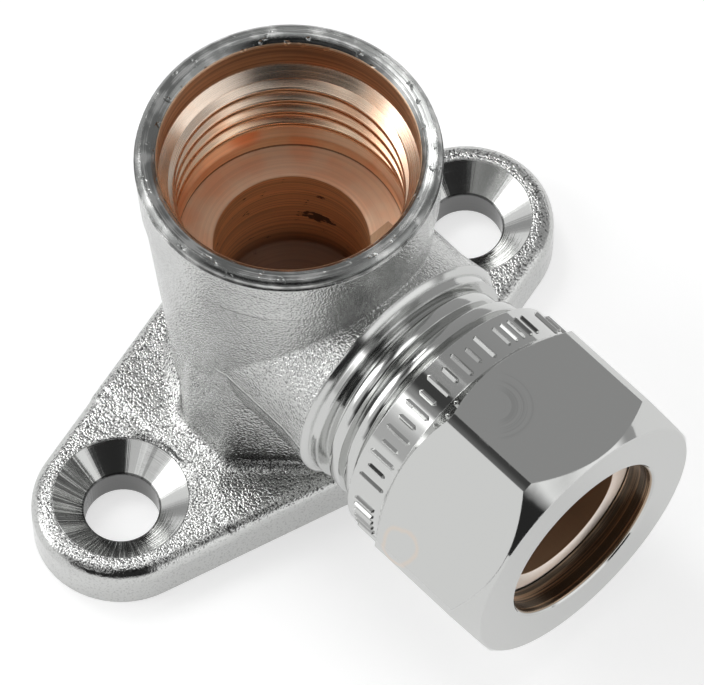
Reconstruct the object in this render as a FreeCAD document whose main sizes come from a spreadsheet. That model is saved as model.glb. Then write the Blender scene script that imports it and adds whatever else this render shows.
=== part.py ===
"""Wall plate elbow: a drop ear elbow that turns a pipe coming out along the wall into a threaded socket.

The origin is the middle of the flat back of the plate, +Z is the axis of the threaded socket,
+X is the axis of the pipe outlet, and the two screw holes lie along Y. Lengths are millimetres.
"""
import FreeCAD, Part
import math
import os
import Sketcher

# Driving sizes: name, value, what it measures
SIZES = [
    ("plate_thickness", 4.5, "plate at its two ends"),
    ("plate_rise", 0.3, "how much thicker the middle of the plate is"),
    ("plate_rise_width", 0.35, "width of the slope up to that thickness"),
    ("plate_rise_margin", 2.4, "from the foot of the web to the top of that slope"),
    ("plate_end_diameter", 15.4, "rounded end of the plate"),
    ("plate_middle_diameter", 25.8, "widest part of the plate"),
    ("plate_top_round", 1.3, "rounding of the upper rim of the plate"),
    ("screw_spacing", 40.6, "between the two screw holes"),
    ("screw_hole_diameter", 6.5, "clearance hole for a wall screw"),
    ("countersink_diameter", 11.8, "countersink at the top of the plate's end"),
    ("countersink_angle", 110, "full angle of the countersink, degrees"),
    ("socket_height", 37.8, "back of the plate to the rim of the socket"),
    ("barrel_foot_diameter", 20.8, "barrel where it leaves the plate"),
    ("collar_diameter", 25.0, "lower end of the collar round the socket"),
    ("collar_height", 6.0, "collar, from the rim down"),
    ("collar_step", 0.2, "how far the collar stands out past the barrel under it"),
    ("rim_diameter", 25.5, "collar under the turned rim"),
    ("rim_band", 0.9, "height of the turned rim"),
    ("rim_step", 0.12, "depth turned off the forging at the rim"),
    ("rim_chamfer", 0.35, "outer edge of the rim"),
    ("rim_dip", 0.2, "how far the face of the rim slopes down to the mouth"),
    ("mouth_diameter", 21.7, "plain counterbore above the thread"),
    ("mouth_depth", 3.7, "depth of that counterbore"),
    ("mouth_chamfer", 0.65, "edge of the rim at the mouth"),
    ("socket_thread_diameter", 20.96, "bottom of the socket's thread"),
    ("socket_depth", 14.6, "rim to the flat stop"),
    ("core_diameter", 19.2, "drilled core left plain under the thread"),
    ("core_length", 1.4, "height of that plain stretch"),
    ("lower_bore_diameter", 13.2, "bore below the stop"),
    ("drill_slope", 31, "slope of the bottom the drill leaves, degrees"),
    ("outlet_height", 18.2, "axis of the outlet above the wall"),
    ("branch_diameter", 21.6, "branch where it leaves the barrel"),
    ("shoulder_diameter", 22.2, "branch at its shoulder"),
    ("shoulder_distance", 13.3, "socket axis to the face of the shoulder"),
    ("shoulder_chamfer", 0.45, "edge of the shoulder"),
    ("turned_diameter", 20.96, "plain turned ring and crest of the thread"),
    ("turned_length", 0.9, "plain turned ring beside the shoulder"),
    ("thread_root_diameter", 18.7, "root of the outlet's thread"),
    ("spigot_length", 14.1, "shoulder to the end of the spigot"),
    ("spigot_chamfer", 0.4, "outer edge of the spigot's end"),
    ("web_proud", 1.5, "how far each side of the web stands out past the foot of the barrel"),
    ("web_back", 1.7, "full width of the web, behind the socket axis"),
    ("web_front", 4.0, "full width of the web, before the socket axis"),
    ("web_heel_angle", 52, "where the web leaves the barrel, degrees from -X"),
    ("web_cheek", 9.0, "where the web narrows again, before the socket axis"),
    ("web_cheek_width", 14.0, "width of the web there"),
    ("web_nose", 10.0, "nose of the web, before the socket axis"),
    ("web_nose_width", 9.0, "width of that nose"),
    ("web_draft", 3, "draft of the web's walls, degrees"),
    ("web_corner_round", 2.4, "upright corners of the web"),
    ("foot_fillet", 1.0, "fillet between the body and the plate"),
    ("waterway_diameter", 11.0, "bore between the pipe stop and the socket"),
    ("pipe_diameter", 15.0, "largest pipe that the outlet takes"),
    ("pipe_clearance", 0.2, "pipe in its socket, on the diameter"),
    ("pipe_depth", 13.0, "end of the spigot to the pipe stop"),
    ("cone_mouth_diameter", 17.7, "seat of the olive at the spigot's end"),
    ("cone_angle", 30, "slope of the seats to the axis, degrees"),
    ("olive_diameter", 18.0, "olive at its thickest"),
    ("olive_reach", 0.3, "how far the olive's flat ends stand out past the bore for the pipe"),
    ("olive_band", 2.66, "plain band between the olive's two cones"),
    ("small_pipe_diameter", 12.0, "pipe that this thick olive is made for"),
    ("olive_fit", 0.1, "olive on that pipe, on the diameter"),
    ("seat_gap", 0.1, "olive to each seat, hand tight"),
    ("thread_gap", 0.12, "nut to the crest of the outlet's thread"),
    ("nut_length", 16.2, "whole nut"),
    ("nut_flats", 24.0, "across the flats"),
    ("nut_corner_diameter", 27.2, "turned over the corners"),
    ("nut_band_diameter", 23.2, "round band at the inner end"),
    ("nut_band_length", 3.7, "length of that band"),
    ("nut_back_chamfer", 1.6, "chamfer of the corners at the band"),
    ("nut_front_chamfer", 1.9, "chamfer of the corners at the front"),
    ("nut_face_diameter", 23.7, "flat front face"),
    ("nut_hole_diameter", 15.7, "hole for the pipe"),
    ("nut_hole_length", 2.64, "length of that hole"),
    ("nut_mouth_chamfer", 0.25, "edge of that hole"),
    ("nut_run_out", 1.1, "room past the spigot's end inside the nut"),
    ("nut_corner_angle", 51.2, "turn of the nut's corners from +Y, degrees"),
]

# Places that more than one piece is built from, as expressions of those sizes
PLATE_TOP = "(sizes.plate_thickness + sizes.plate_rise)"
WEB_HALF = "(sizes.barrel_foot_diameter / 2 + sizes.web_proud)"
PIPE_RADIUS = "((sizes.pipe_diameter + sizes.pipe_clearance) / 2)"
SLOPE = "tan(sizes.cone_angle)"
SPIGOT_END = "(sizes.shoulder_distance + sizes.spigot_length)"
SEAT_START = f"({SPIGOT_END} - (sizes.cone_mouth_diameter / 2 - {PIPE_RADIUS}) / {SLOPE})"
OLIVE_TIP = f"({PIPE_RADIUS} + sizes.olive_reach)"
OLIVE_RISE = f"((sizes.olive_diameter / 2 - {OLIVE_TIP}) / {SLOPE})"
OLIVE_BACK = f"({SEAT_START} + ({OLIVE_TIP} + sizes.seat_gap - {PIPE_RADIUS}) / {SLOPE})"
OLIVE_FRONT = f"({OLIVE_BACK} + 2 * {OLIVE_RISE} + sizes.olive_band)"
NUT_HOLE = "(sizes.nut_hole_diameter / 2)"
NUT_SEAT = f"({OLIVE_FRONT} + ({OLIVE_TIP} + sizes.seat_gap - {NUT_HOLE}) / {SLOPE})"
NUT_FRONT = f"({NUT_SEAT} + sizes.nut_hole_length)"
NUT_BACK = f"({NUT_FRONT} - sizes.nut_length)"

# Two lengths nearer than this are the same
TOUCH = 1e-6

doc = FreeCAD.newDocument("wall_plate_elbow")


def size_sheet():
    """The spreadsheet that every sketch and feature is bound to."""
    sheet = doc.addObject("Spreadsheet::Sheet", "sizes")
    for row, (name, value, meaning) in enumerate(SIZES, start=1):
        sheet.set(f"A{row}", meaning)
        sheet.set(f"B{row}", str(value))
        sheet.setAlias(f"B{row}", name)
    doc.recompute()
    return sheet


def value(name):
    """The number in the sheet under that name."""
    return float(doc.getObject("sizes").get(name))


def origin_plane(body, role):
    """One of the body's own three planes."""
    return next(item for item in body.Origin.OriginFeatures if item.Role == role)


def sketch_on(body, role, name, lift=None):
    """A sketch on an origin plane, with its own origin moved up by the expression lift."""
    sketch = body.newObject("Sketcher::SketchObject", name)
    sketch.AttachmentSupport = [(origin_plane(body, role), "")]
    sketch.MapMode = "FlatFace"
    if lift:
        sketch.setExpression("AttachmentOffset.Base.y", lift)
    return sketch


def hold(sketch, geometry, point, across, up):
    """Tie one point of the sketch to two expressions, measured from the sketch's origin."""
    for kind, axis, expression in (("DistanceX", -2, across), ("DistanceY", -1, up)):
        value = sketch.evalExpression(expression)
        if value == 0:
            sketch.addConstraint(Sketcher.Constraint("PointOnObject", geometry, point, axis))
        else:
            index = sketch.addConstraint(Sketcher.Constraint(kind, -1, 1, geometry, point, value))
            sketch.setExpression(f"Constraints[{index}]", expression)


def outline(sketch, corners):
    """A closed outline of straight lines through corners, each a pair of expressions."""
    points = [
        FreeCAD.Vector(sketch.evalExpression(across), sketch.evalExpression(up), 0)
        for across, up in corners
    ]
    first = sketch.GeometryCount
    count = len(points)
    for index in range(count):
        sketch.addGeometry(Part.LineSegment(points[index], points[(index + 1) % count]))
    for index in range(count):
        following = first + (index + 1) % count
        sketch.addConstraint(Sketcher.Constraint("Coincident", first + index, 2, following, 1))
    for index, (across, up) in enumerate(corners):
        hold(sketch, first + index, 1, across, up)


def turned(body, kind, sketch, axis, name):
    """A profile turned all the way round, added to the body or cut from it."""
    feature = body.newObject(f"PartDesign::{kind}", name)
    feature.Profile = sketch
    feature.ReferenceAxis = (sketch, [axis])
    feature.Angle = 360
    doc.recompute()
    return feature


def padded(body, sketch, length, name):
    """A sketch drawn up by the expression length."""
    feature = body.newObject("PartDesign::Pad", name)
    feature.Profile = sketch
    feature.setExpression("Length", length)
    doc.recompute()
    return feature


def cut_both_ways(body, sketch, name):
    """A sketch cut through everything on both sides of its plane."""
    feature = body.newObject("PartDesign::Pocket", name)
    feature.Profile = sketch
    feature.Type = "ThroughAll"
    feature.Midplane = True
    doc.recompute()
    return feature


def rounded(body, radius, picks, name):
    """A fillet on each edge of the body that picks says yes to."""
    base = body.Tip
    names = [f"Edge{n}" for n, edge in enumerate(base.Shape.Edges, start=1) if picks(edge)]
    feature = body.newObject("PartDesign::Fillet", name)
    feature.Base = (base, names)
    feature.setExpression("Radius", radius)
    doc.recompute()
    return feature


def drafted(body, angle, picks, name):
    """Draft on each face of the body that picks says yes to, hinged at the back of the plate."""
    base = body.Tip
    names = [f"Face{n}" for n, face in enumerate(base.Shape.Faces, start=1) if picks(face)]
    feature = body.newObject("PartDesign::Draft", name)
    feature.Base = (base, names)
    feature.NeutralPlane = (origin_plane(body, "XY_Plane"), [""])
    feature.setExpression("Angle", angle)
    doc.recompute()
    return feature


def plate_outline(sketch):
    """The plate seen from above: a middle disc and two end discs joined by tangent lines."""
    middle = sketch.evalExpression("sizes.plate_middle_diameter / 2")
    end = sketch.evalExpression("sizes.plate_end_diameter / 2")
    reach = sketch.evalExpression("sizes.screw_spacing / 2")
    lean = math.asin((middle - end) / reach)
    arcs = [
        (0, middle, -lean, lean),
        (reach, end, lean, math.pi - lean),
        (0, middle, math.pi - lean, math.pi + lean),
        (-reach, end, math.pi + lean, 2 * math.pi - lean),
    ]
    for height, radius, start, stop in arcs:
        circle = Part.Circle(FreeCAD.Vector(0, height, 0), FreeCAD.Vector(0, 0, 1), radius)
        sketch.addGeometry(Part.ArcOfCircle(circle, start, stop))
    for index in range(4):
        leaving = sketch.getPoint(index, 2)
        arriving = sketch.getPoint((index + 1) % 4, 1)
        sketch.addGeometry(Part.LineSegment(leaving, arriving))
    for index in range(4):
        sketch.addConstraint(Sketcher.Constraint("Tangent", index, 2, 4 + index, 1))
        sketch.addConstraint(Sketcher.Constraint("Tangent", 4 + index, 2, (index + 1) % 4, 1))
    for index in (0, 2):
        sketch.addConstraint(Sketcher.Constraint("Coincident", -1, 1, index, 3))
    hold(sketch, 1, 3, "0", "sizes.screw_spacing / 2")
    hold(sketch, 3, 3, "0", "-sizes.screw_spacing / 2")
    for index, name in enumerate(("middle", "end", "middle", "end")):
        radius = f"sizes.plate_{name}_diameter / 2"
        number = sketch.addConstraint(
            Sketcher.Constraint("Radius", index, sketch.evalExpression(radius)))
        sketch.setExpression(f"Constraints[{number}]", radius)


def upper_rim(edge):
    """True for the edges round the top of the plate, but not for the creases across it."""
    box = edge.BoundBox
    crease = box.YLength < TOUCH and box.ZLength < TOUCH
    return box.ZMin > value("plate_thickness") - TOUCH and not crease


def rises_to_outlet(item):
    """True for an edge or a face of the web that stands up from the plate."""
    height = value("outlet_height")
    return item.BoundBox.ZMax > height - TOUCH and item.BoundBox.ZMin < height - TOUCH


def web_corner(edge):
    """True for the upright corners where the web is at its full width."""
    heel_width = value("barrel_foot_diameter") * math.sin(math.radians(value("web_heel_angle")))
    narrow = max(heel_width, value("web_cheek_width")) / 2
    return rises_to_outlet(edge) and abs(edge.CenterOfMass.y) > narrow


def web_foot(edge):
    """True for the edges where the web stands on the top of the plate."""
    box = edge.BoundBox
    top = value("plate_thickness") + value("plate_rise")
    if abs(box.ZMin - top) > TOUCH or abs(box.ZMax - top) > TOUCH:
        return False
    half = value("barrel_foot_diameter") / 2 + value("web_proud")
    inside_web = max(abs(box.YMin), abs(box.YMax)) < half
    return inside_web and box.XMax < value("web_nose")


def elbow_body():
    """The forged and machined elbow, one piece with its plate."""
    body = doc.addObject("PartDesign::Body", "elbow_body")
    body.Label = "elbow_body"

    plate = sketch_on(body, "XY_Plane", "plate_shape")
    plate_outline(plate)
    padded(body, plate, PLATE_TOP, "plate")

    # the middle of the plate stands a little above its two ends
    slopes = sketch_on(body, "YZ_Plane", "slope_shape")
    crest = f"({WEB_HALF} + sizes.foot_fillet + sizes.plate_rise_margin)"
    crease = f"({crest} + sizes.plate_rise_width)"
    beyond = "(sizes.screw_spacing / 2 + sizes.plate_end_diameter)"
    above = f"({PLATE_TOP} + sizes.plate_thickness)"
    for side in ("", "-"):
        outline(slopes, [
            (f"{side}{crest}", PLATE_TOP),
            (f"{side}{crease}", "sizes.plate_thickness"),
            (f"{side}{beyond}", "sizes.plate_thickness"),
            (f"{side}{beyond}", above),
            (f"{side}{crest}", above),
        ])
    cut_both_ways(body, slopes, "slopes")
    rounded(body, "sizes.plate_top_round", upper_rim, "plate_rim")

    web = sketch_on(body, "XY_Plane", "web_shape")
    half_web = [
        ("-sizes.barrel_foot_diameter / 2 * cos(sizes.web_heel_angle)",
         "sizes.barrel_foot_diameter / 2 * sin(sizes.web_heel_angle)"),
        ("-sizes.web_back", WEB_HALF),
        ("sizes.web_front", WEB_HALF),
        ("sizes.web_cheek", "sizes.web_cheek_width / 2"),
        ("sizes.web_nose", "sizes.web_nose_width / 2"),
    ]
    other_half = [(across, f"-{up}") for across, up in reversed(half_web)]
    outline(web, half_web + other_half)
    padded(body, web, "sizes.outlet_height", "web")
    drafted(body, "sizes.web_draft", rises_to_outlet, "web_draft")
    rounded(body, "sizes.web_corner_round", web_corner, "web_corners")
    rounded(body, "sizes.foot_fillet", web_foot, "web_foot")

    barrel = sketch_on(body, "XZ_Plane", "barrel_shape")
    turned_rim = "(sizes.rim_diameter / 2 - sizes.rim_step)"
    outline(barrel, [
        ("0", "0"),
        ("sizes.barrel_foot_diameter / 2 + sizes.foot_fillet", "0"),
        ("sizes.barrel_foot_diameter / 2 + sizes.foot_fillet", PLATE_TOP),
        ("sizes.barrel_foot_diameter / 2", f"{PLATE_TOP} + sizes.foot_fillet"),
        ("sizes.collar_diameter / 2 - sizes.collar_step",
         "sizes.socket_height - sizes.collar_height - 2 * sizes.collar_step"),
        ("sizes.collar_diameter / 2", "sizes.socket_height - sizes.collar_height"),
        ("sizes.rim_diameter / 2", "sizes.socket_height - sizes.rim_band"),
        (turned_rim, "sizes.socket_height - sizes.rim_band"),
        (turned_rim, "sizes.socket_height - sizes.rim_chamfer"),
        (f"{turned_rim} - sizes.rim_chamfer", "sizes.socket_height"),
        ("sizes.mouth_diameter / 2", "sizes.socket_height - sizes.rim_dip"),
        ("0", "sizes.socket_height - sizes.rim_dip"),
    ])
    turned(body, "Revolution", barrel, "V_Axis", "barrel")

    branch = sketch_on(body, "XZ_Plane", "branch_shape", "sizes.outlet_height")
    ring_end = "(sizes.shoulder_distance + sizes.turned_length)"
    outline(branch, [
        ("0", "0"),
        ("0", "sizes.branch_diameter / 2"),
        ("sizes.barrel_foot_diameter / 2", "sizes.branch_diameter / 2"),
        ("sizes.shoulder_distance - sizes.shoulder_chamfer", "sizes.shoulder_diameter / 2"),
        ("sizes.shoulder_distance", "sizes.shoulder_diameter / 2 - sizes.shoulder_chamfer"),
        ("sizes.shoulder_distance", "sizes.turned_diameter / 2"),
        (ring_end, "sizes.turned_diameter / 2"),
        (ring_end, "sizes.thread_root_diameter / 2"),
        (f"{SPIGOT_END} - sizes.spigot_chamfer", "sizes.thread_root_diameter / 2"),
        (SPIGOT_END, "sizes.thread_root_diameter / 2 - sizes.spigot_chamfer"),
        (SPIGOT_END, "0"),
    ])
    turned(body, "Revolution", branch, "H_Axis", "branch")

    socket = sketch_on(body, "XZ_Plane", "socket_bore_shape")
    counterbore_end = "(sizes.socket_height - sizes.mouth_depth)"
    thread_step = "(sizes.mouth_diameter - sizes.socket_thread_diameter) / 2"
    stop = "(sizes.socket_height - sizes.socket_depth)"
    run_out = "(sizes.socket_thread_diameter - sizes.core_diameter) / 2"
    floor = "(sizes.outlet_height - sizes.waterway_diameter / 2)"
    outline(socket, [
        ("0", "sizes.socket_height"),
        ("sizes.mouth_diameter / 2 + sizes.mouth_chamfer", "sizes.socket_height"),
        ("sizes.mouth_diameter / 2", "sizes.socket_height - sizes.mouth_chamfer"),
        ("sizes.mouth_diameter / 2", counterbore_end),
        ("sizes.socket_thread_diameter / 2", f"{counterbore_end} - {thread_step}"),
        ("sizes.socket_thread_diameter / 2", f"{stop} + sizes.core_length + {run_out}"),
        ("sizes.core_diameter / 2", f"{stop} + sizes.core_length"),
        ("sizes.core_diameter / 2", stop),
        ("sizes.lower_bore_diameter / 2", stop),
        ("sizes.lower_bore_diameter / 2", floor),
        ("0", f"{floor} - sizes.lower_bore_diameter / 2 * tan(sizes.drill_slope)"),
    ])
    turned(body, "Groove", socket, "V_Axis", "socket_bore")

    outlet = sketch_on(body, "XZ_Plane", "outlet_bore_shape", "sizes.outlet_height")
    outline(outlet, [
        ("0", "0"),
        (SPIGOT_END, "0"),
        (SPIGOT_END, "sizes.cone_mouth_diameter / 2"),
        (SEAT_START, PIPE_RADIUS),
        (f"{SPIGOT_END} - sizes.pipe_depth", PIPE_RADIUS),
        (f"{SPIGOT_END} - sizes.pipe_depth", "sizes.waterway_diameter / 2"),
        ("0", "sizes.waterway_diameter / 2"),
    ])
    turned(body, "Groove", outlet, "H_Axis", "outlet_bore")

    screws = sketch_on(body, "XY_Plane", "screw_places")
    screws.setExpression("AttachmentOffset.Base.z", PLATE_TOP)
    for index, side in enumerate(("", "-")):
        reach = f"{side}sizes.screw_spacing / 2"
        radius = "sizes.screw_hole_diameter / 2"
        middle = FreeCAD.Vector(0, screws.evalExpression(reach), 0)
        size = screws.evalExpression(radius)
        screws.addGeometry(Part.Circle(middle, FreeCAD.Vector(0, 0, 1), size))
        hold(screws, index, 3, "0", reach)
        number = screws.addConstraint(Sketcher.Constraint("Radius", index, size))
        screws.setExpression(f"Constraints[{number}]", radius)
    doc.recompute()
    holes = body.newObject("PartDesign::Hole", "screw_holes")
    holes.Profile = screws
    doc.recompute()
    holes.setExpression("Diameter", "sizes.screw_hole_diameter")
    holes.DepthType = "ThroughAll"
    holes.HoleCutType = "Countersink"
    holes.HoleCutCustomValues = True
    holes.setExpression(
        "HoleCutDiameter",
        "sizes.countersink_diameter + 2 * sizes.plate_rise * tan(sizes.countersink_angle / 2)")
    holes.setExpression("HoleCutCountersinkAngle", "sizes.countersink_angle")
    doc.recompute()
    return body


def olive():
    """The thick brass ring that the nut squeezes on to a pipe smaller than the bore."""
    body = doc.addObject("PartDesign::Body", "olive")
    body.Label = "olive"
    section = sketch_on(body, "XZ_Plane", "olive_shape", "sizes.outlet_height")
    bore = "(sizes.small_pipe_diameter + sizes.olive_fit) / 2"
    outline(section, [
        (OLIVE_BACK, bore),
        (OLIVE_BACK, OLIVE_TIP),
        (f"{OLIVE_BACK} + {OLIVE_RISE}", "sizes.olive_diameter / 2"),
        (f"{OLIVE_FRONT} - {OLIVE_RISE}", "sizes.olive_diameter / 2"),
        (OLIVE_FRONT, OLIVE_TIP),
        (OLIVE_FRONT, bore),
    ])
    turned(body, "Revolution", section, "H_Axis", "ring")
    return body


def compression_nut():
    """The nut: turned all over, then milled to six flats in front of its round band."""
    body = doc.addObject("PartDesign::Body", "compression_nut")
    body.Label = "compression_nut"
    section = sketch_on(body, "XZ_Plane", "nut_shape", "sizes.outlet_height")
    bore = "(sizes.turned_diameter / 2 + sizes.thread_gap)"
    bore_end = f"({SPIGOT_END} + sizes.nut_run_out)"
    hex_start = f"({NUT_BACK} + sizes.nut_band_length)"
    outline(section, [
        (NUT_BACK, bore),
        (NUT_BACK, "sizes.nut_band_diameter / 2"),
        (hex_start, "sizes.nut_band_diameter / 2"),
        (f"{hex_start} + sizes.nut_back_chamfer", "sizes.nut_corner_diameter / 2"),
        (f"{NUT_FRONT} - sizes.nut_front_chamfer", "sizes.nut_corner_diameter / 2"),
        (NUT_FRONT, "sizes.nut_face_diameter / 2"),
        (NUT_FRONT, f"{NUT_HOLE} + sizes.nut_mouth_chamfer"),
        (f"{NUT_FRONT} - sizes.nut_mouth_chamfer", NUT_HOLE),
        (NUT_SEAT, NUT_HOLE),
        (bore_end, f"{NUT_HOLE} + ({NUT_SEAT} - {bore_end}) * {SLOPE}"),
        (bore_end, bore),
    ])
    turned(body, "Revolution", section, "H_Axis", "turning")

    flats = sketch_on(body, "YZ_Plane", "flats_shape", "sizes.outlet_height")
    corner = "sizes.nut_flats / 2 / cos(30)"
    outline(flats, [
        (f"{corner} * cos(sizes.nut_corner_angle + {60 * turn})",
         f"{corner} * sin(sizes.nut_corner_angle + {60 * turn})")
        for turn in range(6)
    ])
    waste = "sizes.nut_corner_diameter"
    size = flats.evalExpression(waste)
    flats.addGeometry(Part.Circle(FreeCAD.Vector(0, 0, 0), FreeCAD.Vector(0, 0, 1), size))
    flats.addConstraint(Sketcher.Constraint("Coincident", -1, 1, 6, 3))
    number = flats.addConstraint(Sketcher.Constraint("Radius", 6, size))
    flats.setExpression(f"Constraints[{number}]", waste)
    cut_both_ways(body, flats, "flats")
    return body


def check_and_write(bodies):
    """Stop on any failed object or bad solid, then write one file for each piece."""
    for item in doc.Objects:
        if "Invalid" in item.State or "Error" in item.State:
            raise RuntimeError(f"{item.Label} failed: {item.State}")
    for body in bodies:
        shape = body.Shape
        if shape.isNull() or not shape.isValid() or len(shape.Solids) != 1:
            raise RuntimeError(f"{body.Label} is not one sound solid")
    os.makedirs("parts", exist_ok=True)
    for body in bodies:
        body.Shape.exportStep(f"parts/{body.Label}.step")
        box = body.Shape.optimalBoundingBox()
        print(f"{body.Label}: {body.Shape.Volume:.0f} mm3")
        print(f"  x {box.XMin:.2f} to {box.XMax:.2f}, y {box.YMin:.2f} to {box.YMax:.2f}")
        print(f"  z {box.ZMin:.2f} to {box.ZMax:.2f}")


size_sheet()
check_and_write([elbow_body(), olive(), compression_nut()])
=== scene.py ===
# %% [markdown]
# # A wall plate elbow
# This lesson dresses a small brass plumbing fitting, the kind that is screwed to a wall and turns a pipe
# round a corner into a tap. The solids come from the frame at their real size: the forged elbow on its plate,
# the compression nut, and the olive, which is the brass ring inside the nut.
# Blender adds what the solids leave out: the screw threads, the raised marks on the nut, and above all the
# finishes, which are bright chrome, blasted chrome and bare brass.

# %% load the frame
import math
from types import SimpleNamespace

import bpy
from mathutils import Matrix, Vector


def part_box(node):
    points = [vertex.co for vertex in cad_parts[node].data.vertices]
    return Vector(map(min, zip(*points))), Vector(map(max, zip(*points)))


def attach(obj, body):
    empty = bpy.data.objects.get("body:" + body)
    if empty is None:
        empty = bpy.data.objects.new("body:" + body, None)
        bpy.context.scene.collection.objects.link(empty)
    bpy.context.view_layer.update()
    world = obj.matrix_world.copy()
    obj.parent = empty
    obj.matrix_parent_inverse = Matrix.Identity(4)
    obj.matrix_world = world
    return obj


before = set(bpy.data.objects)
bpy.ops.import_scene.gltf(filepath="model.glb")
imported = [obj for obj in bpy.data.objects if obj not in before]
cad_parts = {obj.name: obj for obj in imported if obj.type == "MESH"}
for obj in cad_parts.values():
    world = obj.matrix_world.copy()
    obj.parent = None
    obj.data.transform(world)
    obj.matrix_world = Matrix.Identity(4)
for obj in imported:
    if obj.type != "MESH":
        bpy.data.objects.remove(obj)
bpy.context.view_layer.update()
MM = 0.001
print("nodes:", sorted(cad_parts))

# %% [markdown]
# ## Sizes
# Everything below is placed from the solids' own boxes. The socket's axis is +Z through the origin, and the
# outlet's axis is +X at the height of the middle of the nut. Only the reach of the screw holes isn't in a
# box, so it is written down here.

# %% read sizes from the solids
body_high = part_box("elbow_body")[1]
nut_low, nut_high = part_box("compression_nut")
OUTLET_HEIGHT = (nut_low.z + nut_high.z) / 2
SPIGOT_END = body_high.x
SOCKET_RIM = body_high.z
SCREW_REACH = 20.3 * MM
print(f"outlet's axis at {OUTLET_HEIGHT / MM:.1f} mm, spigot to {SPIGOT_END / MM:.1f} mm")
print(f"socket's rim at {SOCKET_RIM / MM:.1f} mm")

# %% [markdown]
# ## Camera
# The picture was taken from high up with a long lens, so parallel edges stay nearly parallel. The camera's
# place and its directions were worked out from the plate, the socket's rim and the nut. Aiming it by a matrix
# keeps those directions exactly, where a constraint would level it.

# %% camera
CAMERA_PLACE = Vector((225.901, -199.164, 526.304)) * MM
CAMERA_RIGHT = Vector((0.68517292, 0.72832154, -0.00926285))
CAMERA_DOWN = Vector((0.62710446, -0.5963258, -0.50113425))
PICTURE_WIDTH = 704
FOCAL_PIXELS = 7000
SENSOR_WIDTH = 36
FARTHEST_SEEN = 20


def aim_camera():
    """A camera with its own right, up and back directions as the columns of its matrix."""
    up = -CAMERA_DOWN
    back = CAMERA_RIGHT.cross(up)
    camera = bpy.data.objects.new("camera", bpy.data.cameras.new("camera"))
    camera.data.sensor_width = SENSOR_WIDTH
    camera.data.lens = FOCAL_PIXELS / PICTURE_WIDTH * SENSOR_WIDTH
    camera.data.clip_end = FARTHEST_SEEN
    turn = Matrix((CAMERA_RIGHT, up, back)).transposed().to_4x4()
    camera.matrix_world = Matrix.Translation(CAMERA_PLACE) @ turn
    bpy.context.scene.collection.objects.link(camera)
    bpy.context.scene.camera = camera
    return camera


camera = aim_camera()
print(f"lens {camera.data.lens:.0f} mm, {CAMERA_PLACE.length:.2f} m away")

# %% [markdown]
# ## A helper for wiring nodes
# Materials are graphs of nodes. This small class adds a node and joins its inputs, so that each material
# below reads as a list of what feeds what. An input is a number, a colour or another node's output.

# %% wiring helper
class Wires:
    """Adds nodes to one node tree and joins them."""

    def __init__(self, tree):
        self.tree = tree

    def feed(self, socket, value):
        """Join an output to the socket, or set the socket's own value."""
        if isinstance(value, bpy.types.NodeSocket):
            self.tree.links.new(value, socket)
        else:
            socket.default_value = value

    def node(self, kind, inputs=(), **settings):
        """A node with its settings, fed from a dictionary of its inputs."""
        node = self.tree.nodes.new(kind)
        for name, value in settings.items():
            setattr(node, name, value)
        for name, value in dict(inputs).items():
            self.feed(node.inputs[name], value)
        return node

    def math(self, operation, *values):
        """One step of arithmetic on numbers."""
        return self.node("ShaderNodeMath", enumerate(values), operation=operation).outputs[0]

    def vector(self, operation, *values):
        """One step of arithmetic on vectors."""
        node = self.node("ShaderNodeVectorMath", enumerate(values), operation=operation)
        return node.outputs["Value" if operation in ("LENGTH", "DOT_PRODUCT") else "Vector"]

    def chain(self, operation, values):
        """The same step of arithmetic along a row of numbers."""
        result = values[0]
        for value in values[1:]:
            result = self.math(operation, result, value)
        return result

    def times(self, *values):
        """The product of several numbers."""
        return self.chain("MULTIPLY", values)

    def plus(self, *values):
        """The sum of several numbers."""
        return self.chain("ADD", values)

    def largest(self, *values):
        """The largest of several numbers."""
        return self.chain("MAXIMUM", values)

    def split(self, place):
        """The x, y and z of a place."""
        return self.node("ShaderNodeSeparateXYZ", {"Vector": place}).outputs

    def join(self, x, y, z):
        """A place from its x, y and z."""
        return self.node("ShaderNodeCombineXYZ", {"X": x, "Y": y, "Z": z}).outputs[0]

    def ramp(self, value, low, high, to_low=0.0, to_high=1.0):
        """The value carried smoothly from one range to another, held at both ends."""
        inputs = {"Value": value, "From Min": low, "From Max": high, "To Min": to_low, "To Max": to_high}
        return self.node("ShaderNodeMapRange", inputs, interpolation_type="SMOOTHSTEP").outputs[0]

    def blend(self, share, first, second):
        """A mix of two numbers by a mask."""
        node = self.node("ShaderNodeMix", {0: share, 2: first, 3: second}, data_type="FLOAT")
        return node.outputs[0]

    def tint(self, share, first, second):
        """A mix of two colours by a mask."""
        node = self.node("ShaderNodeMix", {0: share, 6: first, 7: second}, data_type="RGBA")
        return node.outputs[2]

    def noise(self, position, scale, detail=2.0, roughness=0.5):
        """Soft random values over the surface; the scale is in lumps a metre."""
        inputs = {"Vector": position, "Scale": scale, "Detail": detail, "Roughness": roughness}
        return self.node("ShaderNodeTexNoise", inputs).outputs["Fac"]


print("wiring helper:", Wires.__doc__)

# %% [markdown]
# An effect that several finishes share is a node group: it is built once, with named inputs and outputs, and
# placed in each material with that material's own values.

# %% helpers for node groups
SOCKET_KINDS = {"value": "NodeSocketFloat", "vector": "NodeSocketVector", "colour": "NodeSocketColor"}
ORIGIN = (0, 0, 0)


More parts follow.
